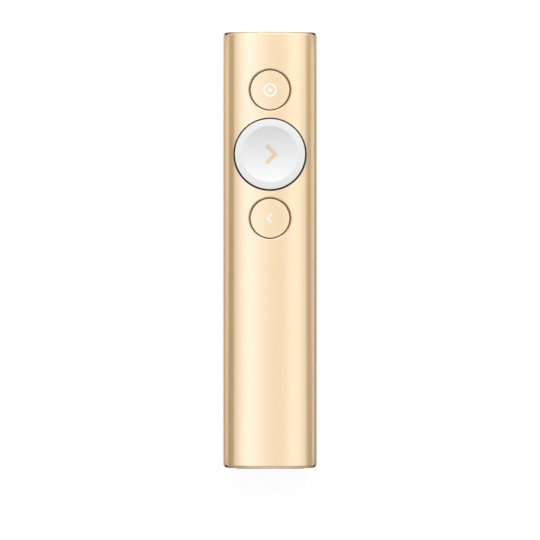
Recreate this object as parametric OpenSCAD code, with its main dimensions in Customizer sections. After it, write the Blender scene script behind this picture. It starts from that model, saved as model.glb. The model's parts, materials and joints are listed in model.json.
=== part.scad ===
// Wireless presentation clicker, lying on its back.
// +Z points up out of the buttons, +Y to the nose and +X to the right. Millimetres.
// The origin is on the resting surface, under the middle of the body.

/* [Body tube] */
// Overall length, from the proud tail plate to the nose rim
body_length = 131.3; // [129.8:0.1:142]
// Overall width
body_width = 28.1; // [27.6:0.1:30]
// Height of the crown of the front above the resting surface
crown_height = 11.5; // [11.3:0.1:13]
// Radius of the rounded side edges
side_radius = 4.5; // [4.3:0.1:4.7]
// Height of the middle of the side edges above the resting surface
side_height = 5.75; // [5.6:0.05:5.9]
// Width of the flat strip along the back
back_flat = 10; // [9:0.5:11]
// Wall thickness of the tube
wall = 1.1; // [0.95:0.05:1.2]
// Rounding of the outer edge at both ends
rim_radius = 1; // [0.4:0.05:1.1]
// Depth of the chamfer round the small button holes, at the crown
small_hole_chamfer = 0.35; // [0.1:0.05:0.45]
// Depth of the chamfer round the large button hole, at the crown
next_hole_chamfer = 0.15; // [0.1:0.05:0.45]

/* [Buttons] */
// Distance from the nose rim to the middle of the pointer button
pointer_from_nose = 17.55; // [16.8:0.05:18]
// Width of the metal left between neighbouring button holes
button_bridge = 2.05; // [1.4:0.05:2.4]
// Diameter of the two small caps
small_cap_d = 11.8; // [11.2:0.1:12.2]
// Diameter of the large cap
next_cap_d = 21; // [20:0.1:21.4]
// Gap round a small cap
small_cap_gap = 0.4; // [0.25:0.05:0.5]
// Gap round the large cap
next_cap_gap = 0.4; // [0.3:0.05:0.6]
// Travel of a small button
small_travel = 0.4; // [0.25:0.05:0.45]
// Travel of the large button
next_travel = 0.5; // [0.3:0.05:0.55]
// Height of a small cap above the crown
small_cap_rise = 0.15; // [0.05:0.05:0.4]
// Height of the large cap's ridge above the crown
next_cap_rise = 0.6; // [0.45:0.05:0.9]
// Diameter of the large cap's dish
dish_d = 16.8; // [15:0.1:17.4]
// Depth of the dish below the ridge
dish_depth = 0.55; // [0.3:0.05:0.7]
// Drop of the large cap's sloping rim, from the ridge to the edge
rim_drop = 0.1; // [0.05:0.05:0.6]
// Thickness of the top of each cap
cap_top = 1.0; // [0.8:0.05:1.1]
// Thickness of the skirt of each cap
cap_skirt = 0.9; // [0.7:0.05:1.1]
// Diameter of a small cap's stem
small_stem_d = 3; // [2.4:0.1:3.2]
// Diameter of the large button's stem
next_stem_d = 4; // [3:0.1:5]
// Thickness of the carrier plate under the large cap
carrier_plate = 0.8; // [0.6:0.05:0.85]

/* [Snap legs] */
// Room between a small cap's snap legs and its skirt
small_leg_inset = 0.65; // [0.55:0.05:0.8]
// Distance of the carrier's snap legs from its edge
next_leg_inset = 0.9; // [0.6:0.05:1.4]
// Width of a snap leg
leg_width = 2.2; // [1.6:0.1:2.6]
// Thickness of a snap leg
leg_thickness = 0.9; // [0.7:0.05:1]
// Reach of the hook at its foot
hook_reach = 0.4; // [0.3:0.05:0.45]

/* [Chassis] */
// Gap between the tube and what slides into it
chassis_gap = 0.15; // [0.1:0.05:0.2]
// Thickness of the chassis tray
tray_wall = 1; // [0.8:0.05:1.1]
// Height of the board's underside above the resting surface
board_z = 3.6; // [3.5:0.05:3.75]
// Thickness of the main board
board_thickness = 0.8; // [0.6:0.05:0.95]
// Distance of the main board's long edges from the tray's outer edge
board_edge = 1.2; // [0.9:0.05:1.5]
// Spacing of the cross ribs in the tail half of the tray
rib_pitch = 17; // [14:0.5:24]
// Thickness of a cross rib
rib_thickness = 0.8; // [0.6:0.1:1.2]
// Thickness of the button deck
deck_thickness = 1; // [0.8:0.05:1.1]
// Drop from the tube's inner crown to the deck
deck_drop = 1.5; // [1.45:0.05:1.6]
// Gap between the deck's long edges and the chassis outline
deck_edge = 0.35; // [0.25:0.05:0.6]
// Radius of the circle that the four middle screws lie on, round the large button
screw_circle_r = 14.3; // [13:0.1:15.5]
// Distance of the tail screw from the middle of the back button
tail_screw_offset = 9.2; // [8.4:0.1:10.4]
// Distance of each end screw from the end of the deck
end_screw_inset = 3; // [2.2:0.1:3.4]
// Thread diameter of the deck screws
screw_d = 1.4; // [1.2:0.1:1.4]
// Diameter of the screw heads
screw_head_d = 2.5; // [2.2:0.1:2.7]
// Height of the screw heads
screw_head_h = 0.8; // [0.6:0.05:0.85]
// Thickness of the tray left under the tips of the screws
screw_floor = 0.35; // [0.25:0.05:0.6]

/* [Switches] */
// Side of a tact switch
switch_size = 4.5; // [4:0.1:5.2]
// Height of a tact switch's case
switch_height = 1.9; // [1.8:0.05:2]
// Diameter of its plunger
plunger_d = 2; // [1.6:0.1:2.2]
// Diameter of its snap dome
dome_d = 3.3; // [3:0.1:3.5]

/* [Battery] */
// Width of the cell
battery_width = 14; // [12.4:0.1:15.4]
// Thickness of the foam under the cell
pad_thickness = 0.3; // [0.2:0.05:0.5]
// Thickness of the foam between the cell and the tube
top_pad_thickness = 0.75; // [0.5:0.05:1.2]
// Gap between the cell and the charge port
battery_gap = 0.45; // [0.3:0.05:1.5]

/* [Vibration motor] */
// Diameter of the coin motor
motor_d = 10; // [9.5:0.1:10.4]
// Height of the coin motor
motor_height = 3; // [2.7:0.1:3.3]
// Wall of its can
motor_wall = 0.2; // [0.15:0.05:0.3]
// Diameter of its shaft
motor_shaft_d = 0.8; // [0.6:0.1:1]

/* [Charge port] */
// Width of the port's shell
port_width = 8.94; // [8.8:0.02:9.2]
// Height of the port's shell
port_height = 3.16; // [3.1:0.02:3.3]
// Depth of the port
port_depth = 7.35; // [7:0.05:7.6]
// Sheet thickness of the port's shell
port_sheet = 0.3; // [0.2:0.05:0.35]

/* [Receiver] */
// Width of the plug's shell
plug_width = 12; // [11.8:0.1:12.2]
// Height of the plug's shell
plug_height = 4.5; // [4.4:0.05:4.6]
// Length of the plug's shell
plug_length = 14.2; // [13.8:0.1:14.6]
// Sheet thickness of the plug's shell
plug_sheet = 0.3; // [0.25:0.05:0.35]
// Room in the bay on each side of the plug's shell
bay_side = 0.5; // [0.4:0.05:0.8]
// Room in the bay above and below the plug's shell
bay_above = 0.9; // [0.7:0.05:1]
// Room in the bay past the end of the plug
bay_past = 0.5; // [0.3:0.05:1]
// Gap between the receiver and the bay
bay_gap = 0.15; // [0.1:0.05:0.2]
// Thickness of the receiver's end plate
plate_thickness = 2; // [1.8:0.1:2.2]
// How far the end plate's raised pad stands out of the tail rim
plate_proud = 0.2; // [0.1:0.05:0.4]
// How far the rest of the end plate lies inside the tail rim
plate_recess = 0.1; // [0.05:0.05:0.3]
// Width of the end plate's raised pad
pad_width = 20.6; // [18:0.1:21]
// Height of the raised pad
pad_height = 4.8; // [4:0.1:5.2]
// Length of the neck behind the end plate
neck_length = 4.65; // [4.2:0.05:5]

/* [Nose] */
// Thickness of the nose cap's wall
nose_wall = 1.2; // [0.8:0.1:1.8]
// Thickness of the nose cap's face
nose_face = 1.4; // [1:0.1:1.6]
// Depth of the nose cap
nose_depth = 3; // [2.6:0.1:3.2]
// How far the nose cap lies inside the rim
nose_recess = 0.4; // [0.3:0.1:0.6]
// Diameter of the status light pipe
light_pipe_d = 1.6; // [1.2:0.1:1.8]

/* [Hidden] */
$fn = 96;
eps = 0.01;
// How far a cutter reaches past what it cuts
past = 1;

// Finishes
gold = [0.87, 0.75, 0.58];
pearl = [0.93, 0.94, 0.94];
dark_plastic = [0.16, 0.16, 0.17];
mid_grey = [0.42, 0.42, 0.43];
steel = [0.75, 0.76, 0.77];
board_green = [0.07, 0.22, 0.16];
chip_black = [0.09, 0.09, 0.1];
contact_gold = [0.85, 0.68, 0.3];
ceramic = [0.66, 0.55, 0.42];
foam = [0.25, 0.25, 0.27];

// Cross-section of the tube: a wide arc over the front, a small arc round each side and
// a middling arc that blends each side into the flat strip along the back.
half_width = body_width / 2;
half_flat = back_flat / 2;
side_x = half_width - side_radius;
front_rise = crown_height - side_height;
front_radius = (side_x * side_x + front_rise * front_rise - side_radius * side_radius)
    / (2 * (front_rise - side_radius));
front_z = crown_height - front_radius;
back_span = side_x - half_flat;
back_radius = (back_span * back_span + side_height * side_height - side_radius * side_radius)
    / (2 * (side_height - side_radius));
big_fn = 360;
front_angle = asin(side_x / (front_radius - side_radius));
back_angle = acos(back_span / (back_radius - side_radius));

// Height of the front arc over X, and of the back arc, on the outline moved inwards by inset
function front_height(x, inset = 0) = front_z + sqrt(pow(front_radius - inset, 2) - x * x);
function back_height(x, inset = 0) =
    back_radius - sqrt(pow(back_radius - inset, 2) - pow(x - half_flat, 2));

// Half the width of that outline at a height in its upper half, and in its lower half
function side_reach(z, inset) =
    side_x + sqrt(pow(side_radius - inset, 2) - pow(z - side_height, 2));
function upper_half_width(z, inset) =
    z >= side_height + (side_radius - inset) * cos(front_angle)
        ? sqrt(pow(front_radius - inset, 2) - pow(z - front_z, 2))
        : side_reach(z, inset);
function lower_half_width(z, inset) =
    z <= side_height - (side_radius - inset) * sin(back_angle)
        ? half_flat + sqrt(pow(back_radius - inset, 2) - pow(back_radius - z, 2))
        : side_reach(z, inset);

// Button holes
small_hole_d = small_cap_d + 2 * small_cap_gap;
next_hole_d = next_cap_d + 2 * next_cap_gap;
button_pitch = (small_hole_d + next_hole_d) / 2 + button_bridge;

rim_flat = 0.1;

// Clearances that several pieces share
step_gap = 0.2;
fit_gap = 0.05;
thread_gap = 0.02;

// Sizes of the bought-in parts on the board
led_size = [1.6, 1.2, 1.1];
radio_size = [5, 5, 0.85];
charger_size = [3, 3, 0.75];
sensor_size = [3, 2.5, 0.86];
crystal_size = [2, 1.6, 0.5];
antenna_size = [6.5, 2, 1.2];
capacitor_size = [1, 0.5, 0.5];
connector_size = [3.6, 3.8, 1.5];
shield_size = [7.4, 6.6, 1.4];
shield_sheet = 0.2;
capacitor_pitch = 1.1;
part_gap = 0.7;
lead_length = 1.6;
lead_d = 0.7;
lead_pitch = 1;

// Stations along the body, from the tail
nose_y = body_length / 2;
tail_rim_y = plate_proud - nose_y;
plate_face_y = tail_rim_y + plate_recess;
plate_inner_y = plate_thickness - nose_y;
neck_end_y = plate_inner_y + neck_length;
plug_socket = 1.7;
plug_y = neck_end_y - plug_socket;
plug_end_y = plug_y + plug_length;
bay_y = plate_inner_y + step_gap;
bay_end_y = plug_end_y + bay_past;
bay_end_wall = 1.2;
port_recess = 0.4;
port_y = bay_end_y + port_recess;
port_end_y = port_y + port_depth;
tray_y = bay_end_y + bay_end_wall + step_gap;
port_overhang = 1.1;
board_y = port_y + port_overhang;

// Stations from the nose
nose_cap_y = nose_y - nose_recess - nose_depth;
tray_end_y = nose_cap_y - step_gap;
board_end_gap = 0.4;
board_end_y = tray_end_y - board_end_gap;
led_setback = 1.3;
led_y = board_end_y - led_setback;
deck_end_gap = 1.8;
deck_end_y = nose_cap_y - deck_end_gap;
nose_screw_y = deck_end_y - end_screw_inset;
pointer_y = nose_y - pointer_from_nose;
next_y = pointer_y - button_pitch;
back_y = next_y - button_pitch;
tail_screw_y = back_y - tail_screw_offset;
deck_y = tail_screw_y - end_screw_inset;
motor_gap = 0.75;
motor_y = deck_y - motor_gap - motor_d / 2;
connector_y = motor_y - motor_d / 2 - step_gap - connector_size[1];

// The cell takes the room between the charge port and its connector
battery_y = port_end_y + battery_gap;
battery_end_y = connector_y - lead_length;

// Heights
chassis_inset = wall + chassis_gap;
board_top_z = board_z + board_thickness;
deck_top_z = crown_height - wall - deck_drop;
deck_bottom_z = deck_top_z - deck_thickness;
hook_gap = 0.1;
hook_height = 0.6;
skirt_lift = 0.2;
small_under_z = crown_height + small_cap_rise - cap_top - skirt_lift;
small_skirt_z = deck_top_z + small_travel + step_gap;
ridge_z = crown_height + next_cap_rise;
dish_floor = 0.1;
ridge_width = 0.5;
cap_corner = 0.25;
next_under_z = ridge_z - dish_depth - cap_top - dish_floor;
carrier_bottom_z = next_under_z - carrier_plate;
switch_top_z = board_top_z + switch_height;
plunger_top_z = switch_top_z + max(small_travel, next_travel) + step_gap;
plunger_flange = 0.3;
plunger_lip = 0.35;
switch_roof = 0.25;
switch_floor = 0.3;
switch_gap = 0.02;
dome_base_z = board_top_z + switch_floor + switch_gap;
plunger_base_z = switch_top_z - switch_roof - switch_gap - plunger_flange;
dome_top_z = plunger_base_z - switch_gap;
dome_sheet = 0.1;
battery_z = board_top_z + pad_thickness;
top_pad_inset = 2;
top_pad_width = battery_width - 2 * top_pad_inset;
top_pad_top_z = front_height(top_pad_width / 2, wall) - 2 * fit_gap;
battery_thickness = top_pad_top_z - top_pad_thickness - battery_z;
bay_z = board_top_z + port_height / 2;

// Widths
board_width = 2 * (lower_half_width(board_z, chassis_inset) - board_edge);
deck_width = 2 * (upper_half_width(deck_top_z, chassis_inset) - deck_edge);
board_corner = 1.5;
deck_corner = 2;
battery_corner = 1.4;
pad_inset = 1;
carrier_r = next_cap_d / 2 - cap_skirt - fit_gap;
small_leg_r = small_cap_d / 2 - cap_skirt - small_leg_inset - leg_thickness / 2;
next_leg_r = carrier_r - next_leg_inset - leg_thickness / 2;
small_leg_angles = [90, 270];
next_leg_angles = [60, 120, 240, 300];
bay_width = plug_width + 2 * bay_side;
bay_height = plug_height + 2 * bay_above;
bay_corner = 1.2;
plate_inset = wall + bay_gap;

// Deck screws: four round the large button, and one near each end of the deck
screw_hole_d = screw_d + step_gap;
post_d = 3.4;
boss_d = 3.6;
head_sink = 0.5;
screw_x = (deck_width - post_d) / 2;
screw_dy = sqrt(pow(screw_circle_r, 2) - pow(screw_x, 2));
screw_tip_z = back_height(screw_x + screw_d / 2, chassis_inset) + screw_floor;
screw_places = concat(
    [for (sx = [-1, 1], sy = [-1, 1]) [sx * screw_x, next_y + sy * screw_dy]],
    [[0, nose_screw_y], [0, tail_screw_y]]);

// Ribs of the tray: evenly spaced behind the tail screw, and under the screws towards the nose
tail_ribs = floor((tail_screw_y - tray_y - rib_thickness) / rib_pitch);
rib_places = concat([for (i = [tail_ribs : -1 : 0]) tail_screw_y - i * rib_pitch],
    [next_y - screw_dy, next_y + screw_dy, nose_screw_y]);
tray_bay_starts = concat([tray_y - past], [for (y = rib_places) y + rib_thickness / 2]);
tray_bay_ends = concat([for (y = rib_places) y - rib_thickness / 2], [tray_end_y + past]);

// Receiver details
pad_corner = 1.8;
nail_slot_width = 10;
nail_slot_height = 1.4;
nail_slot_depth = 1.2;
latch_window = [2.5, 2];
latch_x = 2.85;
latch_from_end = 7.2;
tongue_thickness = 1.84;
tongue_play = 0.15;
tongue_recess = 0.8;
contact_size = [1, 8.4, 0.15];
contact_from_end = 9.6;
inner_contact_x = 1;
outer_contact_x = 3.5;

// Charge port details
port_tongue = [6.69, 4.45, 0.7];
port_back = 0.8;
pin_pitch = 0.5;
pin_size = [0.26, 3.4, 0.08];
pin_setback = 0.4;

// Motor details
motor_plate = 0.4;
rotor_gap = 0.4;
rotor_hub_wall = 0.6;

// Bowed leaf in the roof of the bay, which the plug's shell rubs along
clip_sheet = 0.2;
clip_width = 4;
clip_span = 9;
clip_foot = 1;
clip_foot_depth = 0.3;
clip_from_end = 6.5;
clip_y = bay_end_y - clip_from_end;
clip_top_z = bay_z + bay_height / 2;
clip_bow = bay_above - clip_sheet - fit_gap;
clip_radius = (pow(clip_span / 2, 2) + clip_bow * clip_bow) / (2 * clip_bow);
clip_angle = asin(clip_span / 2 / (clip_radius + clip_sheet / 2));

// ---- Section shapes ----

// The tube's outline, drawn in X and Z, moved inwards by inset
module section_2d(inset = 0) {
    reach = 2 * crown_height;
    // front
    intersection() {
        translate([0, front_z]) circle(r = front_radius - inset, $fn = big_fn);
        polygon([[-side_x, side_height], [side_x, side_height],
            [side_x + reach * sin(front_angle), side_height + reach * cos(front_angle)],
            [-side_x - reach * sin(front_angle), side_height + reach * cos(front_angle)]]);
    }
    for (side = [0, 1]) mirror([side, 0]) {
        translate([side_x, side_height]) circle(r = side_radius - inset);
        intersection() {
            translate([half_flat, back_radius]) circle(r = back_radius - inset);
            polygon([[half_flat, side_height], [side_x, side_height],
                [side_x + reach * cos(back_angle), side_height - reach * sin(back_angle)],
                [half_flat, side_height - reach]]);
        }
    }
    translate([-half_flat, inset]) square([back_flat, side_height - inset]);
}

// Moves a shape drawn in X and Z to lie between two stations along the body
module along_body(from_y, to_y) {
    translate([0, to_y, 0]) rotate([90, 0, 0]) linear_extrude(to_y - from_y) children();
}

module section_prism(inset, from_y, to_y) {
    along_body(from_y, to_y) section_2d(inset);
}

// Sweeps a profile round the outline. In the profile X is the distance out of the surface
// and Y runs along the body.
module arc_sweep(x, z, radius, from, to) {
    translate([x, 0, z]) rotate([90, 0, 0])
        rotate_extrude(angle = to - from, start = from, $fn = big_fn)
            translate([radius, 0]) mirror([0, 1]) children();
}

module section_sweep() {
    arc_sweep(0, front_z, front_radius, 90 - front_angle, 90 + front_angle) children();
    arc_sweep(side_x, side_height, side_radius, -back_angle, 90 - front_angle) children();
    arc_sweep(-side_x, side_height, side_radius, 90 + front_angle, 180 + back_angle) children();
    arc_sweep(half_flat, back_radius, back_radius, -90, -back_angle) children();
    arc_sweep(-half_flat, back_radius, back_radius, 180 + back_angle, 270) children();
    translate([-half_flat, 0, 0]) rotate([0, 90, 0]) linear_extrude(back_flat) children();
}

// A rectangle with round corners, centred
module rounded_rect(width, height, radius) {
    difference() {
        square([width, height], center = true);
        for (sx = [-1, 1], sy = [-1, 1])
            translate([sx * width / 2, sy * height / 2]) difference() {
                square(2 * radius, center = true);
                translate([-sx * radius, -sy * radius]) circle(r = radius);
            }
    }
}

// A block that stands on a height, centred in X on x, from from_y on
module block(size, x, from_y, z) {
    translate([x - size[0] / 2, from_y, z]) cube(size);
}

// ---- Body ----

// Wall of the tube in the sweep's own profile, its outer corners rounded up to a narrow flat
module wall_profile() {
    length = nose_y - tail_rim_y;
    rim = min(rim_radius, wall - rim_flat);
    translate([-wall, tail_rim_y]) difference() {
        square([wall, length]);
        for (end = [0, 1])
            translate([wall, end * length]) mirror([0, end]) difference() {
                square(2 * rim, center = true);
                translate([-rim, rim]) circle(r = rim);
            }
    }
}

module button_hole(y, diameter, chamfer) {
    translate([0, y, side_height]) cylinder(d = diameter, h = crown_height);
    translate([0, y, crown_height - chamfer])
        cylinder(r1 = diameter / 2, r2 = diameter / 2 + 2 * chamfer, h = 2 * chamfer);
}

module body_tube() color(gold) difference() {
    section_sweep() wall_profile();
    button_hole(pointer_y, small_hole_d, small_hole_chamfer);
    button_hole(next_y, next_hole_d, next_hole_chamfer);
    button_hole(back_y, small_hole_d, small_hole_chamfer);
}

// Plastic cap that closes the nose, clear to radio
module nose_cap() color(dark_plastic) difference() {
    section_prism(chassis_inset, nose_cap_y, nose_cap_y + nose_depth);
    section_prism(chassis_inset + nose_wall, nose_cap_y - past, nose_cap_y + nose_depth - nose_face);
    light_guide(led_y, nose_y, light_pipe_d + 2 * fit_gap);
}

// A rod in front of the status light
module light_guide(from_y, to_y, diameter) {
    along_body(from_y, to_y)
        translate([0, board_top_z + light_pipe_d / 2 + step_gap]) circle(d = diameter);
}

module light_pipe() color([0.9, 0.95, 0.92])
    light_guide(led_y + led_size[1] + 2 * fit_gap, nose_y - nose_recess + fit_gap, light_pipe_d);

// ---- Tail ----

// Moulding that guides the receiver and frames the charge port at the bottom of the bay
module receiver_bay() color(dark_plastic) difference() {
    section_prism(chassis_inset, bay_y, bay_end_y + bay_end_wall);
    along_body(bay_y - past, bay_end_y)
        translate([0, bay_z]) rounded_rect(bay_width, bay_height, bay_corner);
    along_body(bay_end_y - past, bay_end_y + bay_end_wall + past)
        translate([0, bay_z]) slot_2d(port_width + 2 * fit_gap, port_height + 2 * fit_gap);
    clip_feet(fit_gap);
}

// A slot outline with round ends, centred
module slot_2d(width, height) {
    square([width - height, height], center = true);
    for (side = [-1, 1]) translate([side * (width - height) / 2, 0]) circle(d = height);
}

module receiver_clip() color(steel) {
    translate([0, clip_y, clip_top_z - clip_sheet - clip_bow + clip_radius]) rotate([0, 90, 0])
        translate([0, 0, -clip_width / 2])
            rotate_extrude(angle = 2 * clip_angle, start = -clip_angle)
                translate([clip_radius - clip_sheet, 0]) square([clip_sheet, clip_width]);
    clip_feet(0);
}

// The leaf's two feet, hooked into the roof of the bay
module clip_feet(gap) {
    inner = (clip_radius - clip_sheet / 2) * sin(clip_angle);
    for (side = [-1, 1])
        translate([-clip_width / 2 - gap, clip_y + side * (inner + clip_foot / 2) - clip_foot / 2 - gap,
            clip_top_z - clip_sheet])
            cube([clip_width + 2 * gap, clip_foot + 2 * gap, clip_sheet + clip_foot_depth + gap]);
}

// ---- Chassis ----

// Curved tray that lies in the bottom of the tube and carries the board. Cross ribs part it
// into bays, and a boss stands round each screw.
module chassis_tray() color(dark_plastic) difference() {
    along_body(tray_y, tray_end_y) intersection() {
        section_2d(chassis_inset);
        translate([-half_width, 0]) square([body_width, board_z]);
    }
    difference() {
        for (i = [0 : len(rib_places)])
            section_prism(chassis_inset + tray_wall, tray_bay_starts[i], tray_bay_ends[i]);
        for (place = screw_places)
            translate([place[0], place[1], 0]) cylinder(d = boss_d, h = crown_height);
    }
    for (place = screw_places)
        translate([place[0], place[1], screw_tip_z - fit_gap])
            cylinder(d = screw_d + 2 * thread_gap, h = board_z);
}

// Places children round a button, at each of these angles
module round_button(y, angles) {
    for (angle = angles) translate([0, y, 0]) rotate(angle) children();
}

// Room in the deck for one snap leg to pass and to flex inwards
module leg_slot(radius) {
    flex = hook_reach + fit_gap;
    outer = radius + leg_thickness / 2 + 2 * fit_gap;
    translate([outer - leg_thickness - flex, -leg_width / 2 - step_gap, deck_bottom_z - past])
        cube([leg_thickness + flex, leg_width + 2 * step_gap, deck_thickness + 2 * past]);
}

module stem_bore(y, diameter) {
    translate([0, y, deck_bottom_z - past])
        cylinder(d = diameter + 2 * fit_gap, h = deck_thickness + 2 * past);
}

// Plate under the buttons: it guides their stems, holds their snap legs and clamps the board
module button_deck() color(dark_plastic) difference() {
    union() {
        translate([0, (deck_y + deck_end_y) / 2, deck_bottom_z]) linear_extrude(deck_thickness)
            rounded_rect(deck_width, deck_end_y - deck_y, deck_corner);
        for (place = screw_places)
            translate([place[0], place[1], board_top_z])
                cylinder(d = post_d, h = deck_bottom_z + deck_thickness / 2 - board_top_z);
    }
    for (place = screw_places) translate([place[0], place[1], 0]) {
        translate([0, 0, board_top_z - past]) cylinder(d = screw_hole_d, h = crown_height);
        translate([0, 0, deck_top_z - head_sink])
            cylinder(d = screw_head_d + step_gap, h = deck_thickness);
    }
    for (y = [pointer_y, back_y]) {
        stem_bore(y, small_stem_d);
        round_button(y, small_leg_angles) leg_slot(small_leg_r);
    }
    stem_bore(next_y, next_stem_d);
    round_button(next_y, next_leg_angles) leg_slot(next_leg_r);
}

module deck_screws() color(steel) for (place = screw_places) translate([place[0], place[1], 0]) {
    seat_z = deck_top_z - head_sink;
    recess = [0.6 * screw_head_d, 0.12 * screw_head_d, screw_head_h];
    translate([0, 0, screw_tip_z]) cylinder(d = screw_d, h = seat_z - screw_tip_z + eps);
    difference() {
        translate([0, 0, seat_z]) cylinder(d = screw_head_d, h = screw_head_h);
        for (turn = [0, 90]) rotate(turn)
            translate([-recess[0] / 2, -recess[1] / 2, seat_z + screw_head_h / 2]) cube(recess);
    }
}

// ---- Main board ----

module main_board() color(board_green) difference() {
    translate([0, (board_y + board_end_y) / 2, board_z]) linear_extrude(board_thickness)
        rounded_rect(board_width, board_end_y - board_y, board_corner);
    for (place = screw_places)
        translate([place[0], place[1], board_z - past])
            cylinder(d = screw_hole_d, h = board_thickness + 2 * past);
}

radio_y = (pointer_y + next_y) / 2;
sensor_y = (next_y + back_y) / 2;

// A bought-in part on the board, centred on x and y
module board_part(size, x, y) {
    block(size, x, y - size[1] / 2, board_top_z);
}

module radio_chip() color(chip_black) board_part(radio_size, 0, radio_y);

// Tin can soldered over the radio
module radio_shield() color(steel) difference() {
    board_part(shield_size, 0, radio_y);
    translate([0, 0, -eps]) board_part([shield_size[0] - 2 * shield_sheet,
        shield_size[1] - 2 * shield_sheet, shield_size[2] - shield_sheet], 0, radio_y);
}

module charger_chip() color(chip_black)
    board_part(charger_size, (board_width + port_width) / 4, (port_y + port_end_y) / 2);

module motion_sensor() color(chip_black) board_part(sensor_size, 0, sensor_y);

module crystal() color(steel)
    board_part(crystal_size, -(shield_size[0] + crystal_size[0]) / 2 - part_gap, radio_y);

// Rows of small ceramic capacitors, on both sides of the sensor and beside the shield
module capacitors() color(ceramic) {
    beside_sensor = (sensor_size[0] + capacitor_size[0]) / 2 + 2 * part_gap;
    beside_shield = (shield_size[0] + capacitor_size[0]) / 2 + part_gap;
    for (i = [0 : 3], side = [-1, 1])
        board_part(capacitor_size, side * beside_sensor, sensor_y + (i - 1.5) * capacitor_pitch);
    for (i = [0 : 2])
        board_part(capacitor_size, beside_shield, radio_y + (i - 1) * capacitor_pitch);
}

module chip_antenna() color(ceramic)
    board_part(antenna_size, -(board_width - antenna_size[0]) / 2 + part_gap, led_y);

module status_led() color([0.92, 0.93, 0.85]) block(led_size, 0, led_y, board_top_z);

// ---- Tact switches ----

module switch_case(y) color(chip_black) difference() {
    board_part([switch_size, switch_size, switch_height], 0, y);
    translate([0, y, board_top_z + switch_floor])
        cylinder(d = dome_d + step_gap, h = switch_height - switch_floor - switch_roof);
    translate([0, y, board_top_z + switch_floor]) cylinder(d = plunger_d + step_gap, h = switch_height);
}

// Domed spring plate under the plunger
module switch_dome(y) color(steel) {
    height = dome_top_z - dome_base_z;
    radius = (pow(dome_d / 2, 2) + height * height) / (2 * height);
    translate([0, y, dome_base_z]) intersection() {
        cylinder(d = dome_d, h = height);
        translate([0, 0, height - radius]) difference() {
            sphere(r = radius);
            sphere(r = radius - dome_sheet);
        }
    }
}

module switch_plunger(y) color(dark_plastic) translate([0, y, plunger_base_z]) {
    cylinder(d = plunger_d + 2 * plunger_lip, h = plunger_flange);
    cylinder(d = plunger_d, h = plunger_top_z - plunger_base_z);
}

module pointer_switch_case() switch_case(pointer_y);
module pointer_switch_dome() switch_dome(pointer_y);
module pointer_switch_plunger() switch_plunger(pointer_y);
module next_switch_case() switch_case(next_y);
module next_switch_dome() switch_dome(next_y);
module next_switch_plunger() switch_plunger(next_y);
module back_switch_case() switch_case(back_y);
module back_switch_dome() switch_dome(back_y);
module back_switch_plunger() switch_plunger(back_y);

// ---- Buttons ----

// A leg that reaches through the deck, with its hook just under it
module snap_leg(radius, top_z) {
    outer = radius + leg_thickness / 2;
    hook_top = deck_bottom_z - hook_gap;
    root = leg_thickness / 2;
    translate([outer - leg_thickness, -leg_width / 2, hook_top - hook_height])
        cube([leg_thickness, leg_width, top_z - hook_top + hook_height]);
    translate([0, leg_width / 2, 0]) rotate([90, 0, 0]) linear_extrude(leg_width)
        polygon([[outer - root, hook_top], [outer + hook_reach, hook_top],
            [outer, hook_top - hook_height], [outer - root, hook_top - hook_height]]);
}

// Small button: its top follows the crown of the tube, with a stem and two legs below
module small_cap(y) color(gold) {
    difference() {
        intersection() {
            translate([0, y, small_skirt_z]) cylinder(d = small_cap_d, h = crown_height);
            section_prism(-small_cap_rise, y - small_cap_d, y + small_cap_d);
        }
        translate([0, y, small_skirt_z - past])
            cylinder(d = small_cap_d - 2 * cap_skirt, h = small_under_z - small_skirt_z + past);
    }
    translate([0, y, plunger_top_z])
        cylinder(d = small_stem_d, h = small_under_z - plunger_top_z + fit_gap);
    round_button(y, small_leg_angles) snap_leg(small_leg_r, small_under_z + fit_gap);
}

module pointer_cap() small_cap(pointer_y);
module back_cap() small_cap(back_y);

// Large cap: a shallow round dish inside a rim that slopes outwards
module next_cap() color(pearl) translate([0, next_y, 0]) rotate_extrude() {
    cap_r = next_cap_d / 2;
    dish_r = dish_d / 2;
    dish_curve = (dish_r * dish_r + dish_depth * dish_depth) / (2 * dish_depth);
    edge_z = ridge_z - rim_drop;
    difference() {
        polygon([[0, next_under_z], [cap_r - cap_skirt, next_under_z],
            [cap_r - cap_skirt, carrier_bottom_z], [cap_r, carrier_bottom_z],
            [cap_r, edge_z - cap_corner], [cap_r - cap_corner, edge_z], [dish_r + ridge_width, ridge_z],
            [dish_r, ridge_z], [0, ridge_z]]);
        translate([0, ridge_z - dish_depth + dish_curve]) intersection() {
            circle(r = dish_curve, $fn = 2 * big_fn);
            translate([0, -dish_curve]) square([dish_r, dish_curve]);
        }
    }
}

// Black plate under the large cap, with the stem and four snap legs
module next_carrier() color(dark_plastic) {
    translate([0, next_y, carrier_bottom_z])
        cylinder(r = carrier_r, h = carrier_plate);
    translate([0, next_y, plunger_top_z])
        cylinder(d = next_stem_d, h = carrier_bottom_z - plunger_top_z + fit_gap);
    round_button(next_y, next_leg_angles) snap_leg(next_leg_r, carrier_bottom_z + fit_gap);
}

// ---- Battery ----

module battery_cell() color([0.72, 0.74, 0.78])
    along_body(battery_y, battery_end_y) translate([0, battery_z + battery_thickness / 2])
        rounded_rect(battery_width, battery_thickness, battery_corner);

// A foam pad over or under the cell, a little smaller than it
module foam_pad(width, thickness, z) {
    length = battery_end_y - battery_y - 2 * pad_inset;
    block([width, length, thickness], 0, battery_y + pad_inset, z);
}

module battery_pad() color(foam)
    foam_pad(battery_width - 2 * battery_corner, pad_thickness, board_top_z);

module battery_top_pad() color(foam)
    foam_pad(top_pad_width, top_pad_thickness, battery_z + battery_thickness);

// Plug beside the cell's edge, and the two leads to it
connector_x = (battery_width - connector_size[0]) / 2;
module battery_connector() color(pearl) block(connector_size, connector_x, connector_y, board_top_z);

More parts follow.
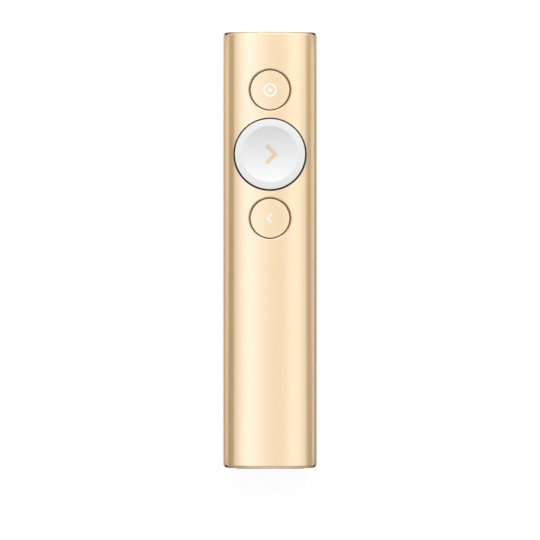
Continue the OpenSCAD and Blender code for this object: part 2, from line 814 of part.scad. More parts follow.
module battery_leads() color([0.6, 0.12, 0.1])
    for (side = [-1, 1]) along_body(battery_end_y, connector_y)
        translate([connector_x + side * lead_pitch / 2, board_top_z + connector_size[2] / 2])
            circle(d = lead_d);

// ---- Vibration motor ----

module motor_base() color(steel) translate([0, motor_y, board_top_z]) {
    cylinder(d = motor_d, h = motor_plate);
    cylinder(d = motor_shaft_d, h = motor_height - motor_wall);
}

module motor_case() color(steel) translate([0, motor_y, board_top_z + motor_plate]) difference() {
    cylinder(d = motor_d, h = motor_height - motor_plate);
    translate([0, 0, -past])
        cylinder(d = motor_d - 2 * motor_wall, h = motor_height - motor_plate - motor_wall + past);
}

// Half-round weight that turns on the shaft
module motor_rotor() color(contact_gold) translate([0, motor_y, board_top_z + motor_plate + rotor_gap]) {
    rotor_r = motor_d / 2 - motor_wall - rotor_gap;
    rotor_h = motor_height - motor_plate - motor_wall - 2 * rotor_gap;
    difference() {
        union() {
            cylinder(r = motor_shaft_d / 2 + rotor_hub_wall, h = rotor_h);
            intersection() {
                cylinder(r = rotor_r, h = rotor_h);
                translate([-rotor_r, 0, 0]) cube([2 * rotor_r, rotor_r, rotor_h]);
            }
        }
        translate([0, 0, -past]) cylinder(d = motor_shaft_d + 2 * fit_gap, h = rotor_h + 2 * past);
    }
}

// ---- Charge port ----

module charge_port_shell() color(steel) translate([0, 0, bay_z]) difference() {
    along_body(port_y, port_end_y) slot_2d(port_width, port_height);
    along_body(port_y - past, port_end_y - port_back)
        slot_2d(port_width - 2 * port_sheet, port_height - 2 * port_sheet);
}

module charge_port_tongue() color(chip_black)
    block(port_tongue, 0, port_end_y - port_back - port_tongue[1], bay_z - port_tongue[2] / 2);

// Twelve contacts on each face of the tongue
module charge_port_contacts() color(contact_gold)
    for (i = [0 : 11], side = [0, 1]) translate([0, 0, bay_z]) mirror([0, 0, side])
        block(pin_size, (i - 5.5) * pin_pitch,
            port_end_y - port_back - port_tongue[1] + pin_setback, port_tongue[2] / 2);

// ---- Receiver ----

// End of the receiver that closes the tail: a plate with a raised pad, a nail slot to pull
// it by, and a neck that guides it in the bay
module receiver_grip() color(mid_grey) difference() {
    union() {
        section_prism(plate_inset, plate_face_y, plate_inner_y);
        along_body(-nose_y, (plate_face_y + plate_inner_y) / 2) translate([0, bay_z])
            rounded_rect(pad_width, pad_height, pad_corner);
        along_body((plate_face_y + plate_inner_y) / 2, neck_end_y) translate([0, bay_z])
            rounded_rect(bay_width - 2 * bay_gap, bay_height - 2 * bay_gap, bay_corner - bay_gap);
    }
    along_body(plug_y, neck_end_y + past) translate([0, bay_z])
        square([plug_width, plug_height], center = true);
    along_body(-nose_y - past, nail_slot_depth - nose_y) translate([0, bay_z])
        slot_2d(nail_slot_width, nail_slot_height);
}

module receiver_shell() color(steel) translate([0, 0, bay_z]) difference() {
    along_body(plug_y, plug_end_y) square([plug_width, plug_height], center = true);
    along_body(plug_y - past, plug_end_y + past)
        square([plug_width - 2 * plug_sheet, plug_height - 2 * plug_sheet], center = true);
    // latch windows, two above and two below
    for (side = [-1, 1])
        block([latch_window[0], latch_window[1], 2 * plug_height],
            side * latch_x, plug_end_y - latch_from_end, -plug_height);
}

tongue_z = bay_z - plug_height / 2 + plug_sheet;
module receiver_tongue() color(pearl)
    block([plug_width - 2 * plug_sheet - 2 * tongue_play, plug_length - tongue_recess,
        tongue_thickness], 0, plug_y, tongue_z);

module receiver_contacts() color(contact_gold)
    for (x = [-outer_contact_x, -inner_contact_x, inner_contact_x, outer_contact_x])
        block(contact_size, x, plug_end_y - contact_from_end, tongue_z + tongue_thickness);

// ---- Assembly ----

body_tube();
nose_cap();
light_pipe();
receiver_bay();
receiver_clip();
chassis_tray();
button_deck();
deck_screws();
main_board();
radio_chip();
radio_shield();
charger_chip();
motion_sensor();
crystal();
capacitors();
chip_antenna();
status_led();
pointer_switch_case();
pointer_switch_dome();
pointer_switch_plunger();
pointer_cap();
next_switch_case();
next_switch_dome();
next_switch_plunger();
next_cap();
next_carrier();
back_switch_case();
back_switch_dome();
back_switch_plunger();
back_cap();
battery_cell();
battery_pad();
battery_top_pad();
battery_connector();
battery_leads();
motor_base();
motor_case();
motor_rotor();
charge_port_shell();
charge_port_tongue();
charge_port_contacts();
receiver_grip();
receiver_shell();
receiver_tongue();
receiver_contacts();
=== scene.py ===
import json
import math

import bmesh
import bpy
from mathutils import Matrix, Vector


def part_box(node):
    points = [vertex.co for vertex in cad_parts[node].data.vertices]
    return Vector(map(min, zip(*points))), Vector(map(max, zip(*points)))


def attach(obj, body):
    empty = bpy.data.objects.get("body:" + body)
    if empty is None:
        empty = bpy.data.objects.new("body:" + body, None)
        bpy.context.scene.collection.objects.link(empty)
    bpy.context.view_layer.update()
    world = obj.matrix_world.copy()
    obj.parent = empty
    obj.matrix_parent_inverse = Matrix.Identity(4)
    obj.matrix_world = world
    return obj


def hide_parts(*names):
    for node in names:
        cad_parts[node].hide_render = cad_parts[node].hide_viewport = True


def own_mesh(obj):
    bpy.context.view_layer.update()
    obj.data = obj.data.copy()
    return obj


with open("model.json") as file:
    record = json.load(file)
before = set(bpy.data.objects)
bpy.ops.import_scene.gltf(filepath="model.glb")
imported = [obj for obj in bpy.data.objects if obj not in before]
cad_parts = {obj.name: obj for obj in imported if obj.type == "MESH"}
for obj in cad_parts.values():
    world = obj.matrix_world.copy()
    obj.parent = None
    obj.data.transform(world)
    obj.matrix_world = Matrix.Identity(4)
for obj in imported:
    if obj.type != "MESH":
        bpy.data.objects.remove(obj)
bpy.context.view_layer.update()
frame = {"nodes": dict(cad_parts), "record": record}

MM = 0.001

# ---- Sizes, in metres. The frame gives the places; the rest repeats the part's own sizes. ----

tube_low, tube_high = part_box("body_tube")
CROWN = tube_high.z
TUBE_HALF = tube_high.x
TAIL_Y, NOSE_Y = tube_low.y, tube_high.y
WALL = 1.1 * MM
RIM, INNER_RIM = 1.0 * MM, 0.08 * MM    # rounding of the outer and the inner edge at both ends
SIDE_RADIUS = 4.5 * MM
SIDE_HEIGHT = 5.75 * MM                 # height of the centre of each side's arc
BACK_FLAT = 10 * MM

# The five arcs of the tube's outline: one over the front, one round each side, and one from each
# side to the flat strip of the back
SIDE_X = TUBE_HALF - SIDE_RADIUS
FRONT_RISE = CROWN - SIDE_HEIGHT
FRONT_RADIUS = ((SIDE_X ** 2 + FRONT_RISE ** 2 - SIDE_RADIUS ** 2)
                / (2 * (FRONT_RISE - SIDE_RADIUS)))
FRONT_ANGLE = math.asin(SIDE_X / (FRONT_RADIUS - SIDE_RADIUS))
BACK_SPAN = SIDE_X - BACK_FLAT / 2
BACK_RADIUS = ((BACK_SPAN ** 2 + SIDE_HEIGHT ** 2 - SIDE_RADIUS ** 2)
               / (2 * (SIDE_HEIGHT - SIDE_RADIUS)))
BACK_ANGLE = math.acos(BACK_SPAN / (BACK_RADIUS - SIDE_RADIUS))

# For each button hole, the gap round its cap and how far its softened edge spreads
SMALL_HOLE = (0.29 * MM, 0.36 * MM)
HOLES = {"pointer_cap": SMALL_HOLE, "next_cap": (0.49 * MM, 0.08 * MM), "back_cap": SMALL_HOLE}
FLARE_SLOPE = 0.5           # depth of the softened edge for its width
CUTTER_RISE = 0.5 * MM      # how far a hole's cutter stands over the crown

# Buttons
TRAVELS = {"pointer": 0.4 * MM, "next": 0.5 * MM, "back": 0.4 * MM}
SKIRT = 0.9 * MM            # thickness of a cap's skirt
SMALL_TOP = 1.2 * MM        # thickness of a small cap at its middle
SMALL_ROLL = 0.22 * MM      # radius of its rolled edge
SMALL_CROWNED = 0.4 * MM    # what lies less than this under its top follows the tube's front
SMALL_SKIRT_FOOT = 9.5 * MM
STEM_R, STEM_CHAMFER = 1.5 * MM, 0.15 * MM
LEG_R = 3.9 * MM            # from the middle of a small cap to its snap legs
LEG_WIDTH, LEG_THICKNESS = 2.2 * MM, 0.9 * MM
LEG_FOOT, HOOK_TOP = 7.2 * MM, 7.8 * MM
HOOK_REACH = 0.4 * MM
LEG_OVERLAP = 0.05 * MM     # how far a leg runs into the cap that it is joined to
NEXT_FLOOR = 1.1 * MM       # thickness of the large cap under the middle of its dish
NEXT_ROLL = 0.06 * MM
DISH_R, DISH_DEPTH = 8.4 * MM, 0.55 * MM
RIDGE = 0.5 * MM            # width of the level ridge round the dish
NEXT_DROP = 0.05 * MM       # fall of the rim outside the ridge
DOME_SHEET = 0.1 * MM

# Signs. A chevron has the distance of its tip from the cap's middle, the length of its arms and
# their stroke.
TARGET_R, TARGET_STROKE, TARGET_DOT_R = 2.03 * MM, 0.56 * MM, 0.51 * MM
NEXT_SIGN_TIP, NEXT_SIGN_ARM, NEXT_SIGN_STROKE = 2.4 * MM, 4.35 * MM, 1.14 * MM
BACK_SIGN_TIP, BACK_SIGN_ARM, BACK_SIGN_STROKE = 1.2 * MM, 2.3 * MM, 0.55 * MM
SIGN_THICKNESS = 0.05 * MM
SIGN_LIFT = 1 * MM          # how far over its cap a sign is made, before it drops onto it

# Faces along each curve
FRONT_STEPS, SIDE_STEPS, BACK_STEPS = 40, 44, 14
RIM_STEPS, INNER_RIM_STEPS = 8, 2
HOLE_STEPS = 256
SMALL_RINGS, SMALL_ROLL_STEPS, SMALL_STEPS = 14, 6, 144
DISH_STEPS, NEXT_ROLL_STEPS, NEXT_STEPS = 28, 18, 224
DOME_ARC_STEPS, DOME_STEPS = 16, 64
TARGET_STEPS, TARGET_DOT_STEPS = 96, 48
CHEVRON_CUTS = 6

# Tolerances
WELD = 0.0005 * MM          # points nearer to each other than this become one
TOUCH = 0.01 * MM           # a point nearer to a plane than this lies on it
FACING = 0.9                # a face looks along an axis if its normal has more than this of it

# Edges that bend more than this many degrees are shaded sharp
SHARP = 32
SHARP_LIP = 20              # keeps the lips of the holes apart from the front
SHARP_BRIM = 6              # keeps the brim of the large cap's dish crisp


def front_height(x):
    """Height of the tube's front over x, down to where the sides begin."""
    reach = FRONT_RADIUS * math.sin(FRONT_ANGLE)
    if abs(x) <= reach:
        return CROWN - FRONT_RADIUS + math.sqrt(FRONT_RADIUS ** 2 - x ** 2)
    return SIDE_HEIGHT + math.sqrt(max(SIDE_RADIUS ** 2 - (abs(x) - SIDE_X) ** 2, 0))


def round_box(node):
    """The two corners of a round node's box, its middle and its radius."""
    low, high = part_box(node)
    return low, high, (low + high) / 2, (high.x - low.x) / 2


# ---- Modelling helpers ----

def clear_selection():
    """Deselects every object."""
    bpy.ops.object.select_all(action="DESELECT")


def start(name, scale=(1, 1, 1)):
    """Names the new primitive, and puts its scale and its place into its mesh."""
    piece = bpy.context.object
    piece.scale = scale
    piece.name = name
    piece.data.name = name
    bpy.ops.object.transform_apply(location=True, rotation=True, scale=True)
    return piece


def only(piece):
    """Makes one piece the selected and active one."""
    clear_selection()
    piece.select_set(True)
    bpy.context.view_layer.objects.active = piece


def editing(piece):
    """Opens one piece in edit mode."""
    only(piece)
    bpy.ops.object.mode_set(mode="EDIT")
    bpy.ops.mesh.select_mode(type="VERT")


def done():
    """Leaves edit mode."""
    bpy.ops.object.mode_set(mode="OBJECT")


def pick_all():
    """In edit mode, selects the whole mesh."""
    bpy.ops.mesh.select_all(action="SELECT")


def pick(piece, kind, test):
    """In edit mode, selects only the verts, edges or faces that pass a test."""
    bpy.ops.mesh.select_mode(type={"verts": "VERT", "edges": "EDGE", "faces": "FACE"}[kind])
    bpy.ops.mesh.select_all(action="DESELECT")
    mesh = bmesh.from_edit_mesh(piece.data)
    for item in getattr(mesh, kind):
        item.select_set(test(item))
    bmesh.update_edit_mesh(piece.data)


def push(x=0, y=0, z=0):
    """Extrudes what is selected by a distance."""
    bpy.ops.mesh.extrude_region_move(TRANSFORM_OT_translate={"value": (x, y, z)})


def swing(angle, centre, steps):
    """Spins what is selected about a line along Y; a positive angle swings the top towards +X."""
    bpy.ops.mesh.spin(steps=steps, angle=-angle, center=centre, axis=(0, 1, 0))


def weld():
    """Merges the points that lie on each other."""
    pick_all()
    bpy.ops.mesh.remove_doubles(threshold=WELD)


def outward(piece):
    """Turns every face of a piece outwards."""
    editing(piece)
    pick_all()
    bpy.ops.mesh.normals_make_consistent(inside=False)
    done()


def dot(name, x, y, z):
    """A piece that is a single point, open in edit mode, to extrude and spin from."""
    clear_selection()
    bpy.ops.mesh.primitive_plane_add(size=MM, location=(x, y, z))
    piece = start(name)
    editing(piece)
    pick_all()
    bpy.ops.mesh.merge(type="CENTER")
    return piece


def revolve(piece, x, y, steps):
    """Spins the open profile that is being edited once round an upright axis."""
    pick_all()
    bpy.ops.mesh.spin(steps=steps, angle=math.tau, center=(x, y, 0), axis=(0, 0, 1),
                      use_auto_merge=True)
    weld()
    done()
    outward(piece)


def modify(piece, kind, **settings):
    """Adds a modifier and applies it."""
    only(piece)
    modifier = piece.modifiers.new(kind, kind)
    for key, value in settings.items():
        setattr(modifier, key, value)
    bpy.ops.object.modifier_apply(modifier=modifier.name)


def combine(piece, operation, tool):
    """Joins another piece on or cuts it out, and takes the other away."""
    modify(piece, "BOOLEAN", operation=operation, object=tool, solver="EXACT")
    bpy.data.objects.remove(tool)


def smooth(piece, sharp=SHARP):
    """Shades a piece smooth, but for edges that bend more than an angle in degrees."""
    only(piece)
    bpy.ops.object.shade_smooth_by_angle(angle=math.radians(sharp))


# ---- Tube ----

def outline(name, y):
    """The tube's closed cross-section at y: five arcs spun from the crown, and the flat back."""
    piece = dot(name, 0, y, CROWN)

    def front():
        swing(FRONT_ANGLE, (0, y, CROWN - FRONT_RADIUS), FRONT_STEPS)

    def side(x):
        swing(math.pi / 2 + BACK_ANGLE - FRONT_ANGLE, (x, y, SIDE_HEIGHT), SIDE_STEPS)

    def back(x):
        swing(math.pi / 2 - BACK_ANGLE, (x, y, BACK_RADIUS), BACK_STEPS)

    front()
    side(SIDE_X)
    back(BACK_FLAT / 2)
    push(x=-BACK_FLAT)
    back(-BACK_FLAT / 2)
    side(-SIDE_X)
    front()
    weld()
    return piece


def hole_cutter(cap, gap, spread):
    """A round cutter for one button hole, whose lip follows the front and softens the edge."""
    _, _, centre, cap_r = round_box(cap)
    radius = cap_r + gap
    clear_selection()
    bpy.ops.mesh.primitive_cylinder_add(vertices=HOLE_STEPS, radius=radius, depth=CUTTER_RISE,
                                        location=(centre.x, centre.y, CROWN + CUTTER_RISE / 2))
    cutter = start("hole_cutter")
    editing(cutter)
    pick(cutter, "faces", lambda face: face.normal.z < -FACING)
    push(z=SIDE_HEIGHT - CROWN)
    pick(cutter, "verts", lambda vert: vert.co.z > CROWN + CUTTER_RISE / 2)
    widen = (radius + CUTTER_RISE / FLARE_SLOPE) / radius
    bpy.ops.transform.resize(value=(widen, widen, 1), center_override=centre)
    done()
    for corner in cutter.data.vertices:
        if corner.co.z > CROWN - TOUCH:     # all but the foot
            edge = (corner.co.x - centre.x) / (corner.co - centre).xy.length * (radius + spread)
            corner.co.z -= CROWN - front_height(edge) + spread * FLARE_SLOPE
    return cutter


def on_end(edge):
    """Whether an edge of the tube lies in the plane of its tail or its nose."""
    return all(min(abs(vert.co.y - TAIL_Y), abs(vert.co.y - NOSE_Y)) < TOUCH
               for vert in edge.verts)


def looks_out(wall):
    """Whether a face along the tube looks away from the tube's middle line."""
    middle = wall.calc_center_median()
    return wall.normal.x * middle.x + wall.normal.z * (middle.z - SIDE_HEIGHT) > 0


def rim_edge(outer):
    """A test for the edges of the tube's two ends, on its outer or its inner wall."""
    def test(edge):
        walls = [face for face in edge.link_faces if abs(face.normal.y) < FACING]
        return on_end(edge) and len(walls) == 1 and looks_out(walls[0]) == outer
    return test


def make_tube():
    """The body: its outline drawn out from tail to nose, with rounded rims and three holes."""
    piece = outline("tube", TAIL_Y)
    push(y=NOSE_Y - TAIL_Y)
    done()
    outward(piece)
    modify(piece, "SOLIDIFY", thickness=WALL, offset=-1, use_even_offset=True, use_rim=True)
    editing(piece)
    pick(piece, "edges", rim_edge(outer=True))
    bpy.ops.mesh.bevel(offset=RIM, segments=RIM_STEPS, affect="EDGES")
    pick(piece, "edges", rim_edge(outer=False))
    bpy.ops.mesh.bevel(offset=INNER_RIM, segments=INNER_RIM_STEPS, affect="EDGES")
    done()
    for cap, (gap, spread) in HOLES.items():
        combine(piece, "DIFFERENCE", hole_cutter(cap, gap, spread))
    smooth(piece, SHARP_LIP)
    return piece


# ---- Buttons ----

def follow_front(piece, above):
    """Lowers what lies above a height by the fall of the tube's front there."""
    for corner in piece.data.vertices:
        if corner.co.z > above:
            corner.co.z -= CROWN - front_height(corner.co.x)


def add_snap_leg(cap, centre, side, top):
    """Joins on a leg that reaches down through the deck, with a hook that faces off the stem."""
    middle_y, middle_z = centre.y + side * LEG_R, (HOOK_TOP + LEG_FOOT) / 2
    clear_selection()
    bpy.ops.mesh.primitive_cube_add(size=1, location=(centre.x, middle_y, middle_z))
    leg = start("snap_leg", (LEG_WIDTH, LEG_THICKNESS, HOOK_TOP - LEG_FOOT))
    editing(leg)
    pick(leg, "faces", lambda face: face.normal.y * side > FACING)
    push(y=side * HOOK_REACH)
    pick(leg, "faces", lambda face: face.normal.z > FACING
         and abs(face.calc_center_median().y - middle_y) < TOUCH)
    push(z=top - HOOK_TOP)
    done()
    outward(leg)
    combine(cap, "UNION", leg)


def make_small_cap(button):
    """A small button: a crowned top with a rolled edge, its skirt, stem and two snap legs."""
    low, high, centre, radius = round_box(button + "_cap")
    under = high.z - SMALL_TOP
    piece = dot(button + "_button_cap", centre.x, centre.y, high.z)
    for ring in range(SMALL_RINGS):
        push(x=(radius - SMALL_ROLL) / SMALL_RINGS)
    swing(math.pi / 2, (centre.x + radius - SMALL_ROLL, centre.y, high.z - SMALL_ROLL),
          SMALL_ROLL_STEPS)
    push(z=SMALL_SKIRT_FOOT - high.z + SMALL_ROLL)
    push(x=-SKIRT)
    push(z=under - SMALL_SKIRT_FOOT)
    push(x=SKIRT + STEM_R - radius)
    push(z=low.z - under + STEM_CHAMFER)
    push(x=-STEM_CHAMFER, z=-STEM_CHAMFER)
    push(x=STEM_CHAMFER - STEM_R)
    revolve(piece, centre.x, centre.y, SMALL_STEPS)
    follow_front(piece, high.z - SMALL_CROWNED)
    for side in (-1, 1):
        add_snap_leg(piece, centre, side, under + LEG_OVERLAP)
    smooth(piece)
    return piece


def make_next_cap():
    """The large button: a dish in a rim that falls away a little to a rolled edge."""
    low, high, centre, radius = round_box("next_cap")
    dish_z = high.z - DISH_DEPTH
    dish_curve = (DISH_R ** 2 + DISH_DEPTH ** 2) / (2 * DISH_DEPTH)
    under = dish_z - NEXT_FLOOR
    piece = dot("next_button_cap", centre.x, centre.y, dish_z)
    swing(-math.asin(DISH_R / dish_curve), (centre.x, centre.y, dish_z + dish_curve),
          DISH_STEPS)
    push(x=RIDGE)
    push(x=radius - NEXT_ROLL - DISH_R - RIDGE, z=-NEXT_DROP)
    swing(math.pi / 2, (centre.x + radius - NEXT_ROLL, centre.y, high.z - NEXT_DROP - NEXT_ROLL),
          NEXT_ROLL_STEPS)
    push(z=low.z - high.z + NEXT_DROP + NEXT_ROLL)
    push(x=-SKIRT)
    push(z=under - low.z)
    push(x=SKIRT - radius)
    revolve(piece, centre.x, centre.y, NEXT_STEPS)
    smooth(piece, SHARP_BRIM)
    return piece


def make_snap_dome(button):
    """The spring dome under a plunger."""
    low, high, centre, radius = round_box(button + "_switch_dome")
    height = high.z - low.z
    curve = (radius ** 2 + height ** 2) / (2 * height)
    inner_curve = curve - DOME_SHEET
    inner_r = math.sqrt(inner_curve ** 2 - (curve - height) ** 2)
    pivot = (centre.x, centre.y, high.z - curve)
    piece = dot(button + "_dome", centre.x, centre.y, high.z)
    swing(math.asin(radius / curve), pivot, DOME_ARC_STEPS)
    push(x=inner_r - radius)
    swing(-math.asin(inner_r / inner_curve), pivot, DOME_ARC_STEPS)
    revolve(piece, centre.x, centre.y, DOME_STEPS)
    smooth(piece)
    finish_piece(piece, FINISHES["spring_steel"], "housing", "spring_steel",
                 button + "_switch_dome")
    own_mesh(piece)


# ---- Signs ----

def over(cap):
    """The place over the middle of a cap where its sign is made."""
    low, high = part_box(cap)
    return Vector(((low.x + high.x) / 2, (low.y + high.y) / 2, high.z + SIGN_LIFT))


def lay_on(sign, cap):
    """Drops a flat sign on a cap and gives it a little thickness."""
    modify(sign, "SHRINKWRAP", target=cap, wrap_method="PROJECT", use_project_z=True,
           use_negative_direction=True, use_positive_direction=False, offset=0)
    modify(sign, "SOLIDIFY", thickness=SIGN_THICKNESS, offset=0)
    smooth(sign)


def make_chevron(name, tip, arm, stroke, points_right, cap):
    """An arrow head with square ends: a corner square whose two far edges are drawn out."""
    half = stroke / 2
    along_arm = tip.x - (stroke + arm) / 2      # between the square and the end of its first arm
    clear_selection()
    bpy.ops.mesh.primitive_plane_add(size=stroke, location=(tip.x - half, tip.y - half, tip.z))
    sign = start(name)
    editing(sign)
    pick(sign, "edges", lambda edge: all(vert.co.x < tip.x - half for vert in edge.verts))
    push(x=stroke - arm)
    pick(sign, "edges", lambda edge: all(vert.co.y < tip.y - half and vert.co.x > along_arm
                                         for vert in edge.verts))
    push(y=stroke - arm)
    pick_all()
    bpy.ops.mesh.subdivide(number_cuts=CHEVRON_CUTS)
    side = 1 if points_right else -1
    for corner in bmesh.from_edit_mesh(sign.data).verts:
        across, along = corner.co.x - tip.x, corner.co.y - tip.y
        corner.co.x = tip.x + side * (across + along) / math.sqrt(2)
        corner.co.y = tip.y + (across - along) / math.sqrt(2)
    done()
    if points_right:        # that turn has mirrored its faces
        outward(sign)
    lay_on(sign, cap)
    return sign


def make_target(name, centre, cap):
    """A ring with a dot in its middle."""
    clear_selection()
    bpy.ops.mesh.primitive_circle_add(vertices=TARGET_STEPS, radius=TARGET_R, location=centre)
    sign = start(name)
    editing(sign)
    pick_all()
    bpy.ops.mesh.extrude_region_move()
    narrow = 1 - TARGET_STROKE / TARGET_R
    bpy.ops.transform.resize(value=(narrow, narrow, 1), center_override=centre)
    bpy.ops.mesh.primitive_circle_add(vertices=TARGET_DOT_STEPS, radius=TARGET_DOT_R,
                                      location=centre, fill_type="TRIFAN")
    done()
    lay_on(sign, cap)
    return sign


# ---- Materials ----

GOLD = (0.90, 0.70, 0.465)
PEARL = (0.752, 0.764, 0.750)
WHITE = (0.9, 0.9, 0.89)
TAN = (0.75, 0.6, 0.4)
BOARD_GREEN, TRACK_GREEN = (0.016, 0.075, 0.045), (0.03, 0.12, 0.07)
FOAM_BLACK = (0.03, 0.03, 0.033)


def add(made, kind, **values):
    """A node. Values are named as its settings or as its sockets, with _ for a space."""
    node = made.node_tree.nodes.new(kind)
    for key, value in values.items():
        if hasattr(node, key):
            setattr(node, key, value)
        else:
            node.inputs[key.replace("_", " ")].default_value = value
    return node


def link(made, source, output, target, socket):
    """Leads an output of one node to a socket of another."""
    made.node_tree.links.new(source.outputs[output], target.inputs[socket])


def shader_of(made):
    """The Principled shader of a material."""
    return made.node_tree.nodes["Principled BSDF"]


def material(name, colour, **values):
    """A Principled material. Values are named as the shader's sockets, with _ for a space."""
    made = bpy.data.materials.new(name)
    made.use_nodes = True
    sockets = shader_of(made).inputs
    sockets["Base Color"].default_value = (*colour, 1)
    for key, value in values.items():
        sockets[key.replace("_", " ")].default_value = value
    return made


def bare_material(name):
    """A material with no nodes yet."""
    made = bpy.data.materials.new(name)
    made.use_nodes = True
    made.node_tree.nodes.clear()
    return made


def noise(made, size, detail=2.0, stretch=(1, 1, 1)):
    """Noise on the piece's own place, with features of about the given size."""
    place = add(made, "ShaderNodeTexCoord")
    scaled = add(made, "ShaderNodeMapping", Scale=stretch)
    link(made, place, "Object", scaled, "Vector")
    pattern = add(made, "ShaderNodeTexNoise", Scale=1 / size, Detail=detail)
    link(made, scaled, "Vector", pattern, "Vector")
    return pattern


def vary(made, size, colour, other, stretch=(1, 1, 1)):
    """Drifts the base colour between two shades."""
    mix = add(made, "ShaderNodeMix", data_type="RGBA", A=(*colour, 1), B=(*other, 1))
    link(made, noise(made, size, stretch=stretch), "Fac", mix, "Factor")
    link(made, mix, "Result", shader_of(made), "Base Color")


def roughen(made, size, low, high, stretch=(1, 1, 1)):
    """Drifts the roughness between two values."""
    spread = add(made, "ShaderNodeMapRange", To_Min=low, To_Max=high)
    link(made, noise(made, size, stretch=stretch), "Fac", spread, "Value")
    link(made, spread, "Result", shader_of(made), "Roughness")


def grain(made, size, depth, strength=1.0):
    """Fine relief of the surface."""
    bump = add(made, "ShaderNodeBump", Strength=strength, Distance=depth)
    link(made, noise(made, size, detail=3.0), "Fac", bump, "Height")
    link(made, bump, "Normal", shader_of(made), "Normal")


def shade(colour, factor):
    """A colour made darker or lighter."""
    return tuple(min(part * factor, 1) for part in colour)


def anodised_gold():
    made = material("anodised_gold", GOLD, Metallic=1.0, Roughness=0.25)
    vary(made, size=14 * MM, colour=shade(GOLD, 0.985), other=GOLD)
    roughen(made, size=9 * MM, low=0.24, high=0.26)
    grain(made, size=0.06 * MM, depth=0.0006 * MM, strength=0.6)
    return made


def gold_paint():
    made = material("gold_paint", GOLD, Metallic=0.95, Roughness=0.28)
    vary(made, size=6 * MM, colour=shade(GOLD, 0.97), other=GOLD)
    roughen(made, size=3 * MM, low=0.27, high=0.29)
    grain(made, size=0.05 * MM, depth=0.0006 * MM, strength=0.6)
    return made


def pearl_white():
    made = material("pearl_white", PEARL, Roughness=0.3, Specular_IOR_Level=0.5)
    vary(made, size=5 * MM, colour=shade(PEARL, 0.985), other=PEARL)
    roughen(made, size=2 * MM, low=0.28, high=0.33)
    grain(made, size=0.09 * MM, depth=0.0004 * MM, strength=0.5)
    return made


def sign_white():
    made = material("sign_white", WHITE, Roughness=0.4)
    vary(made, size=1 * MM, colour=shade(WHITE, 0.98), other=WHITE)
    return made


def sign_gold():
    made = material("sign_gold", TAN, Roughness=0.45, Metallic=0.2)
    vary(made, size=1 * MM, colour=shade(TAN, 0.97), other=TAN)
    return made


def moulded(name, colour, rough, relief=0.0012 * MM):
    """Fine-textured moulded plastic."""
    made = material(name, colour, Roughness=rough)
    vary(made, size=2.5 * MM, colour=shade(colour, 0.9), other=shade(colour, 1.08))
    roughen(made, size=1.2 * MM, low=rough - 0.05, high=rough + 0.05)
    grain(made, size=0.12 * MM, depth=relief, strength=0.8)
    return made


def metal(name, colour, rough, stretch=(1, 1, 1)):
    """Sheet or turned metal, with the marks of its making along the stretch."""
    made = material(name, colour, Metallic=1.0, Roughness=rough)
    vary(made, size=1.5 * MM, colour=shade(colour, 0.92), other=colour, stretch=stretch)
    roughen(made, size=0.5 * MM, low=rough - 0.06, high=rough + 0.08, stretch=stretch)
    grain(made, size=0.08 * MM, depth=0.0006 * MM, strength=0.5)
    return made


def clear_guide():
    made = material("clear_guide", (0.9, 0.95, 0.93), Roughness=0.12, Transmission_Weight=0.75,
                    IOR=1.49)
    roughen(made, size=0.6 * MM, low=0.1, high=0.18)
    return made


def board_laminate():
    made = material("board_laminate", BOARD_GREEN, Roughness=0.32, Coat_Weight=0.4,
                    Coat_Roughness=0.15)
    vary(made, size=0.7 * MM, colour=BOARD_GREEN, other=TRACK_GREEN, stretch=(1, 0.25, 1))
    grain(made, size=0.3 * MM, depth=0.004 * MM, strength=0.6)
    return made


def foam():
    made = material("foam", FOAM_BLACK, Roughness=0.95, Sheen_Weight=0.3)
    vary(made, size=0.3 * MM, colour=FOAM_BLACK, other=shade(FOAM_BLACK, 2))
    grain(made, size=0.15 * MM, depth=0.04 * MM)
    return made


FINISHES = {
    "anodised_gold": anodised_gold(),
    "gold_paint": gold_paint(),
    "pearl_white": pearl_white(),
    "black_plastic": moulded("black_plastic", (0.012, 0.012, 0.013), 0.42),
    "grey_plastic": moulded("grey_plastic", (0.16, 0.16, 0.165), 0.4),
    "clear_guide": clear_guide(),
    "spring_steel": metal("spring_steel", (0.62, 0.62, 0.63), 0.26, (1, 0.1, 1)),
    "screw_steel": metal("screw_steel", (0.5, 0.5, 0.51), 0.32),
    "board_laminate": board_laminate(),
    "chip_black": moulded("chip_black", (0.008, 0.008, 0.009), 0.5, 0.002 * MM),
    "plated_steel": metal("plated_steel", (0.66, 0.66, 0.67), 0.24, (0.15, 1, 1)),
    "ceramic": moulded("ceramic", (0.32, 0.22, 0.13), 0.6),
    "led_lens": moulded("led_lens", (0.8, 0.8, 0.68), 0.25),
    "battery_foil": metal("battery_foil", (0.55, 0.57, 0.6), 0.36, (1, 0.3, 1)),
    "foam": foam(),
    "white_plastic": moulded("white_plastic", (0.78, 0.78, 0.74), 0.32),
    "lead_insulation": moulded("lead_insulation", (0.35, 0.012, 0.01), 0.48),
    "rotor_metal": metal("rotor_metal", (0.38, 0.28, 0.14), 0.38),
    "contact_gold": metal("contact_gold", (0.76, 0.5, 0.16), 0.2),
}


def finish_piece(piece, finish, body, slot, *nodes):
    """Gives a piece its finish and its body, and hides the nodes that it stands for."""
    piece.data.materials.clear()
    piece.data.materials.append(finish)
    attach(piece, body)
    if nodes:
        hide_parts(*nodes)


def finish_nodes():
    """Gives every node of the frame the finish of its slot."""
    slot_of = {part["node"]: part["material_slot"] for part in frame["record"]["subparts"]}
    for name, node in frame["nodes"].items():
        node.data.materials.clear()
        node.data.materials.append(FINISHES[slot_of[name]])


# ---- Stage ----

